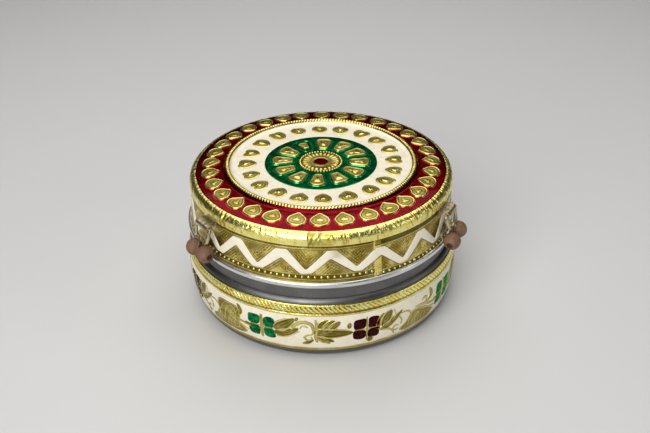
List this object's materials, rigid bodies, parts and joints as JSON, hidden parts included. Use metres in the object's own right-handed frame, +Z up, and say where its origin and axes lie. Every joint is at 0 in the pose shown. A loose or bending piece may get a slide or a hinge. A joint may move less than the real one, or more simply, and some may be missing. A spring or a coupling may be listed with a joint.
{
  "type": "round dry fruit box",
  "caption": "Round steel box with a deep slip-on lid, wrapped in embossed gilt foil with enamel, and small beaded wire rings hanging from the lid.",
  "frame": {"origin": "centre of the flat foot", "axes": "+Z up through the lid, -Y towards the front, +X to the right"},
  "size_m": [0.1528, 0.1592, 0.078],
  "materials": {
    "steel": "bare, brushed",
    "gilt_foil": "embossed gilt foil, bright",
    "white_enamel": "glossy enamel",
    "cream_enamel": "glossy enamel",
    "green_enamel": "translucent enamel",
    "maroon_enamel": "translucent enamel",
    "tie_metal": "bright wire and strip",
    "bead_wood": "worn, matt"
  },
  "bodies": {
    "base": {"base_shell": "steel", "base_foil": "gilt_foil", "base_white_enamel": "white_enamel", "green_petals": "green_enamel", "maroon_petals": "maroon_enamel"},
    "lid": {"lid_shell": "steel", "lid_side_foil": "gilt_foil", "zigzag_enamel": "white_enamel", "lid_edge_foil": "gilt_foil", "lid_top_foil": "gilt_foil", "maroon_enamel": "maroon_enamel", "cream_enamel": "cream_enamel", "green_enamel": "green_enamel", "centre_enamel": "maroon_enamel", "tie_lug_left": "tie_metal", "tie_lug_right": "tie_metal", "tie_lug_rear": "tie_metal"},
    "ring_left": {"tie_ring_left": "tie_metal", "tie_link_left": "tie_metal", "bead_pin_left": "tie_metal"},
    "near_left": {"near_bead_left": "bead_wood"},
    "far_left": {"far_bead_left": "bead_wood"},
    "ring_right": {"tie_ring_right": "tie_metal", "tie_link_right": "tie_metal", "bead_pin_right": "tie_metal"},
    "near_right": {"near_bead_right": "bead_wood"},
    "far_right": {"far_bead_right": "bead_wood"},
    "ring_rear": {"tie_ring_rear": "tie_metal", "tie_link_rear": "tie_metal", "bead_pin_rear": "tie_metal"},
    "near_rear": {"near_bead_rear": "bead_wood"},
    "far_rear": {"far_bead_rear": "bead_wood"}
  },
  "joints": [
    {"name": "lid_lift", "type": "slide", "parent": "base", "child": "lid", "axis": [0, 0, 1], "range_m": [0, 0.045]},
    {"name": "ring_swing_left", "type": "hinge", "parent": "lid", "child": "ring_left", "pos_m": [-0.05999, -0.0452, 0.0642], "axis": [-0.6018, 0.7986, 0], "range_deg": [0, 100]},
    {"name": "near_bead_spin_left", "type": "hinge", "parent": "ring_left", "child": "near_left", "pos_m": [-0.06264, -0.0472, 0.05039], "axis": [0.6121, -0.7886, 0.0594], "continuous": true},
    {"name": "far_bead_spin_left", "type": "hinge", "parent": "ring_left", "child": "far_left", "pos_m": [-0.06264, -0.0472, 0.05039], "axis": [0.6121, -0.7886, 0.0594], "continuous": true},
    {"name": "ring_swing_right", "type": "hinge", "parent": "lid", "child": "ring_right", "pos_m": [0.06662, -0.03468, 0.0642], "axis": [-0.4617, -0.887, 0], "range_deg": [0, 100]},
    {"name": "near_bead_spin_right", "type": "hinge", "parent": "ring_right", "child": "near_right", "pos_m": [0.06999, -0.03644, 0.05052], "axis": [0.4294, 0.8954, 0.1174], "continuous": true},
    {"name": "far_bead_spin_right", "type": "hinge", "parent": "ring_right", "child": "far_right", "pos_m": [0.06999, -0.03644, 0.05052], "axis": [0.4294, 0.8954, 0.1174], "continuous": true},
    {"name": "ring_swing_rear", "type": "hinge", "parent": "lid", "child": "ring_rear", "pos_m": [-0.00589, 0.07488, 0.0642], "axis": [0.9969, 0.0785, 0], "range_deg": [0, 100]},
    {"name": "near_bead_spin_rear", "type": "hinge", "parent": "ring_rear", "child": "near_rear", "pos_m": [-0.00615, 0.07819, 0.05039], "axis": [-0.9969, -0.0785, 0], "continuous": true},
    {"name": "far_bead_spin_rear", "type": "hinge", "parent": "ring_rear", "child": "far_rear", "pos_m": [-0.00615, 0.07819, 0.05039], "axis": [-0.9969, -0.0785, 0], "continuous": true}
  ]
}
